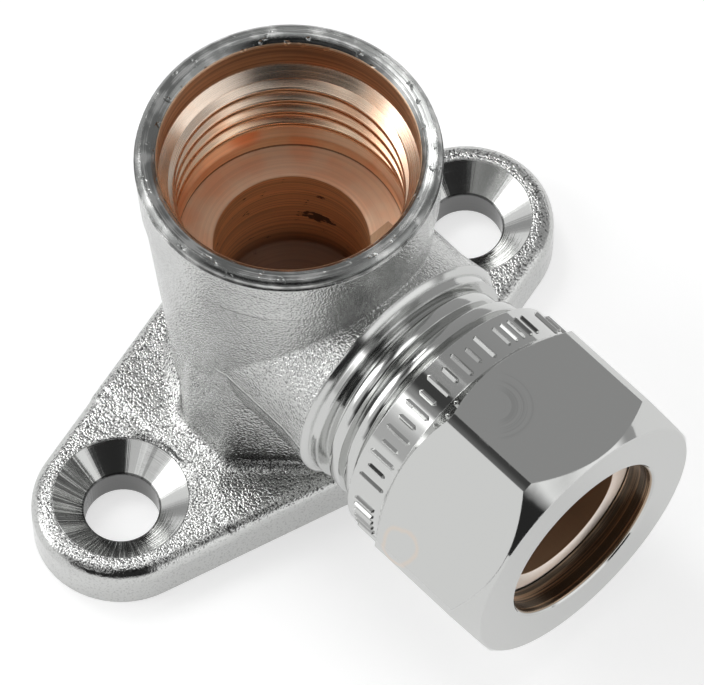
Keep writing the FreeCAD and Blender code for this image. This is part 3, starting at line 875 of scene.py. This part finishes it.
# %% thread builder
PITCH = 1.814 * MM
STEPS_PER_TURN = 144
SHARP = [(0.0, 1.0), (0.11, 0.99), (0.17, 0.93), (0.21, 0.80), (0.39, 0.13), (0.43, 0.03), (0.48, -0.06)]
BLUNT = [(0.0, 1.0), (0.21, 0.99), (0.27, 0.95), (0.305, 0.86), (0.40, 0.36), (0.44, 0.27), (0.49, 0.25),
         (0.49, -0.1)]


def both_flanks(half):
    """A whole section from its right half."""
    return [(-offset, height) for offset, height in reversed(half[1:])] + half


def wind(place, section, foot, crest, start, turns, fades, limit):
    """Rows of points, one section a step; place(radius, angle, along) gives a point."""
    vertices = []
    for step in range(int(turns * STEPS_PER_TURN) + 1):
        wound = step / STEPS_PER_TURN
        rise = math.sin(min(1.0, wound / fades[0], (turns - wound) / fades[1]) * math.pi / 2)
        for offset, height in section:
            lift = height * rise if height > 0 else height
            radius = foot + (crest - foot) * lift
            along = start + PITCH * (wound + offset)
            if limit:
                radius = max(radius, limit(along))
            vertices.append(place(radius, 2 * math.pi * wound, along))
    return vertices


def thread(name, place, half, foot, crest, start, end, fades, finish, body, limit=None):
    """A helical ridge from the foot radius to the crest radius, closed at both ends."""
    section = both_flanks(half)
    turns = (end - start) / PITCH
    vertices = wind(place, section, foot, crest, start, turns, fades, limit)
    width = len(section)
    count = len(vertices) // width - 1
    faces = []
    for step in range(count):
        row, above = step * width, (step + 1) * width
        for column in range(width):
            following = (column + 1) % width
            faces.append((row + column, row + following, above + following, above + column))
    faces.append(tuple(range(width - 1, -1, -1)))
    faces.append(tuple(range(count * width, (count + 1) * width)))
    return new_piece(name, vertices, faces, finish, body)


print(f"pitch {PITCH / MM} mm, 14 turns to the inch")

# %% [markdown]
# The fitting has three threads: one outside the spigot, one inside the nut that runs on it, and one inside
# the socket for the tap. The nut's thread rides on the nut and comes off with it. It starts two and a half
# turns after the spigot's: the half turn puts its ridges into the spigot's grooves.

# %% threads of the spigot and the nut
SPIGOT_ROOT = 9.35 * MM
SPIGOT_CREST = 10.46 * MM
SPIGOT_START = 15.2 * MM
SPIGOT_RUNOUT = 0.9 * MM
NUT_ROOT = 10.6 * MM
NUT_CREST = 9.62 * MM
NUT_START = SPIGOT_START + 2.5 * PITCH
NUT_END = 28.0 * MM

thread("outlet_thread", about_outlet, BLUNT, SPIGOT_ROOT, SPIGOT_CREST, SPIGOT_START,
       SPIGOT_END - SPIGOT_RUNOUT, (0.3, 0.4), OUTLET_THREAD_FINISH, "elbow")
thread("nut_thread", about_outlet, SHARP, NUT_ROOT, NUT_CREST, NUT_START, NUT_END, (0.3, 0.3),
       NUT_FINISH, "nut")

# %% [markdown]
# The socket's thread points inwards, so its crest has the smaller radius. A 45 degree cone cuts its first
# turn, as the real one is cut to let the tap's thread find its way in. The ridge is held outside that cone
# point by point, which is safer than a boolean on a long thin mesh.

# %% thread of the socket
SOCKET_ROOT = 10.48 * MM
SOCKET_CREST = 9.5 * MM
SOCKET_START = 25.9 * MM
SOCKET_END = 33.6 * MM
CONE_RADIUS = 10.95 * MM


def mouth_cone(along):
    """Radius of the 45 degree cone that cuts the first turn."""
    return CONE_RADIUS - (MOUTH_END - along)


thread("socket_thread", about_socket, SHARP, SOCKET_ROOT, SOCKET_CREST, SOCKET_START, SOCKET_END, (0.4, 0.1),
       SOCKET_THREAD_FINISH, "elbow", limit=mouth_cone)

# %% [markdown]
# ## Lead-in
# The first turn of the socket's thread starts under a turned lead-in, a sloping ring. It is one profile
# turned round the axis, and it lies about a twentieth of a millimetre proud of the solid's own cone, so that
# the two never fight for the same place.

# %% lead-in of the socket
AROUND = 160
LEAD_IN = [(10.95 * MM, 34.26 * MM), (10.02 * MM, 33.33 * MM), (10.10 * MM, 33.12 * MM),
           (10.55 * MM, 32.9 * MM)]
LEAD_IN_CREASE = math.radians(30)


def turned_ring(name, profile, finish, body):
    """A ring about the socket's axis, from (radius, height) points."""
    vertices = [about_socket(radius, 2 * math.pi * step / AROUND, height)
                for step in range(AROUND) for radius, height in profile]
    width = len(profile)
    faces = []
    for step in range(AROUND):
        row, above = step * width, (step + 1) % AROUND * width
        for column in range(width):
            following = (column + 1) % width
            faces.append((row + column, above + column, above + following, row + following))
    return new_piece(name, vertices, faces, finish, body)


lead_in = turned_ring("lead_in", LEAD_IN, SOCKET_THREAD_FINISH, "elbow")
lead_in.data.set_sharp_from_angle(angle=LEAD_IN_CREASE)

# %% [markdown]
# ## Raised marks on the nut
# The round band of the nut is a grip: long and short bars by turns, with three groups of five thin bars.
# Each bar is a small ridge with two sloping sides and pointed ends, wrapped on to the band, so that one side
# of it catches the light and the other stays dark. They are real faces, because a bump wouldn't show in the
# band's outline.

# %% raised marks
BAND_RADIUS = 11.6 * MM
BAND_MIDDLE = nut_low.x + 1.95 * MM
MARK_HEIGHT = 0.22 * MM
MARK_SINK = 0.05 * MM
MARK_TOP = 0.06 * MM
END_SLOPE = 0.8
GROUPS = 3
FIRST_GROUP = 171
THIN_BARS = 5
THIN_STEP = 4.6
THIN_SIZE = (2.3 * MM, 0.42 * MM)
GRIP_BARS = 13
GRIP_START = 28
GRIP_STEP = 6.5
LONG_BAR = (2.9 * MM, 0.62 * MM)
SHORT_BAR = (2.1 * MM, 0.62 * MM)
MARK_CREASE = math.radians(25)


def mark_outline(length, width):
    """A bar with pointed ends, as points (along the axis, round the band)."""
    half, side = length / 2, width / 2
    return [(half, 0), (half - side, side), (side - half, side),
            (-half, 0), (side - half, -side), (half - side, -side)]


def add_mark(vertices, faces, angle, length, width):
    """One raised bar at an angle on the band, wide at its foot and narrow at its top."""
    first = len(vertices)
    for across, radius in ((width, BAND_RADIUS - MARK_SINK), (MARK_TOP, BAND_RADIUS + MARK_HEIGHT)):
        outline = mark_outline(length - (width - across) * END_SLOPE, across)
        for along, round_it in outline:
            vertices.append(about_outlet(radius, angle + round_it / BAND_RADIUS, BAND_MIDDLE + along))
    count = len(outline)
    for index in range(count):
        following = (index + 1) % count
        faces.append((first + index, first + following, first + count + following, first + count + index))
    faces.append(tuple(first + count + index for index in range(count)))


def band_marks():
    """A grip of long and short bars all round the band, broken by three groups of thin bars."""
    vertices, faces = [], []
    for group in range(GROUPS):
        start = math.radians(FIRST_GROUP + group * 360 / GROUPS)
        for index in range(THIN_BARS):
            add_mark(vertices, faces, start + math.radians(THIN_STEP * index), *THIN_SIZE)
        for index in range(GRIP_BARS):
            size = SHORT_BAR if index % 2 else LONG_BAR
            add_mark(vertices, faces, start + math.radians(GRIP_START + GRIP_STEP * index), *size)
    return new_piece("band_marks", vertices, faces, NUT_FINISH, "nut")


marks = band_marks()
marks.data.set_sharp_from_angle(angle=MARK_CREASE)

# %% [markdown]
# ## Floor
# The object stands on plain pale paper. A diffuse shader takes its shadow, and a little glow, seen by the
# camera and in reflections only, brings the paper up to white without any more light on the object.

# %% floor
FLOOR_HALF = 1.5
FLOOR_LEVEL = -0.02 * MM
PAPER = (0.62, 0.62, 0.62, 1)
WHITE = (1, 1, 1, 1)
FLOOR_GLOW = 0.50
CAMERA_GLOW = 0.08


def paper_finish():
    """Pale paper with a glow for the camera and for reflections."""
    material = bpy.data.materials.new("pale floor")
    material.use_nodes = True
    material.node_tree.nodes.clear()
    wires = Wires(material.node_tree)
    rays = wires.node("ShaderNodeLightPath").outputs
    seen = wires.largest(rays["Is Camera Ray"], rays["Is Glossy Ray"], rays["Is Transmission Ray"])
    strength = wires.plus(FLOOR_GLOW, wires.times(rays["Is Camera Ray"], CAMERA_GLOW))
    diffuse = wires.node("ShaderNodeBsdfDiffuse", {"Color": PAPER})
    glow = wires.node("ShaderNodeEmission", {"Color": WHITE, "Strength": wires.times(seen, strength)})
    both = wires.node("ShaderNodeAddShader", {0: diffuse.outputs[0], 1: glow.outputs[0]})
    wires.node("ShaderNodeOutputMaterial", {"Surface": both.outputs[0]})
    return material


def lay_floor():
    """A pale floor just under the plate."""
    corners = [(x * FLOOR_HALF, y * FLOOR_HALF, FLOOR_LEVEL) for x, y in ((-1, -1), (1, -1), (1, 1), (-1, 1))]
    mesh = bpy.data.meshes.new("floor")
    mesh.from_pydata(corners, [], [(0, 1, 2, 3)])
    mesh.materials.append(paper_finish())
    floor = bpy.data.objects.new("floor", mesh)
    bpy.context.scene.collection.objects.link(floor)
    return floor


floor = lay_floor()
print(f"floor {2 * FLOOR_HALF:.0f} m wide, {-FLOOR_LEVEL / MM:.2f} mm under the plate")

# %% [markdown]
# ## Light
# Chrome needs a room to mirror. Lamps would show in it only as small hard spots, so the world is painted as a
# studio: a grey room, bright soft boxes to the left, to the right and overhead, and dark screens that give
# the bright metal its black edges. A strength below zero is a dark screen. The angles started from the
# direction that a bright or black part of the metal mirrors in the photograph, and were then adjusted in
# test renders.

# %% one soft box
SOFT_BOXES = [
    # azimuth, elevation, half width, half height and softness in degrees, then strength
    (228, 22, 33, 26, 9, 0.55),
    (225, 33, 14, 19, 6, 2.40),
    (20, 6, 27, 21, 8, 0.80),
    (286, 48, 17, 9, 5, 0.75),
    (18, 50, 12, 16, 6, 0.70),
    (313, 34, 33, 42, 7, -0.40),
    (280, 25, 36, 13, 4, -0.36),
    (352, 45, 14, 10, 5, -0.38),
    (341, 8, 11, 13, 4, -0.60),
    (0, 90, 200, 15, 6, 1.50),
    (222, 68, 22, 9, 6, -0.30),
    (175, 57, 14, 9, 5, 6.40),
    (165, 4, 16, 14, 8, 0.60),
]


def box_group():
    """How far inside a soft box a direction is, from 0 to 1. Angles are in degrees."""
    group, wires, given, result = new_group(
        "soft box",
        [("Azimuth", "value", 0), ("Elevation", "value", 0), ("Middle Azimuth", "value", 0),
         ("Middle Elevation", "value", 0), ("Half Width", "value", 10), ("Half Height", "value", 10),
         ("Softness", "value", 5)],
        [("Mask", "value")])
    turn = wires.math("SUBTRACT", given["Azimuth"], given["Middle Azimuth"])
    around = wires.math("ABSOLUTE", wires.math("WRAP", turn, 180, -180))
    upward = wires.math("ABSOLUTE", wires.math("SUBTRACT", given["Elevation"], given["Middle Elevation"]))
    masks = []
    for measure, half in ((around, "Half Width"), (upward, "Half Height")):
        over = wires.math("DIVIDE", wires.math("SUBTRACT", given[half], measure), given["Softness"])
        masks.append(wires.ramp(over, -0.5, 0.5))
    wires.feed(result["Mask"], wires.times(*masks))
    return group


BOX = box_group()
print("group:", BOX.name)

# %% [markdown]
# The room adds up its boxes over a grey that gets a little darker towards the ceiling, and nothing in it is
# fully black. The camera itself sees plain white, as in a product picture.

# %% studio
ROOM_GREY = 0.43
CEILING_SHARE = 0.85
GREY_HEIGHTS = (-10, 75)
DARKEST = 0.03


def light_studio():
    """The world: white to the camera, a studio to everything else."""
    world = bpy.data.worlds.new("studio")
    bpy.context.scene.world = world
    world.use_nodes = True
    world.node_tree.nodes.clear()
    wires = Wires(world.node_tree)
    x, y, z = wires.split(wires.node("ShaderNodeTexCoord").outputs["Generated"])
    azimuth = wires.math("DEGREES", wires.math("ARCTAN2", y, x))
    elevation = wires.math("DEGREES", wires.math("ARCSINE", z))
    level = wires.ramp(elevation, *GREY_HEIGHTS, ROOM_GREY, ROOM_GREY * CEILING_SHARE)
    for middle, height, width, tall, soft, strength in SOFT_BOXES:
        box = use_group(wires, BOX, Azimuth=azimuth, Elevation=elevation, Middle_Azimuth=middle,
                        Middle_Elevation=height, Half_Width=width, Half_Height=tall, Softness=soft)
        level = wires.plus(level, wires.times(box["Mask"], strength))
    seen = wires.node("ShaderNodeLightPath").outputs["Is Camera Ray"]
    level = wires.blend(seen, wires.largest(level, DARKEST), 1.0)
    background = wires.node("ShaderNodeBackground", {"Color": WHITE, "Strength": level})
    wires.node("ShaderNodeOutputWorld", {"Surface": background.outputs[0]})
    return world


light_studio()
bpy.context.scene.view_settings.view_transform = "Standard"
print(len(SOFT_BOXES), "boxes and screens in the room")

# %% [markdown]
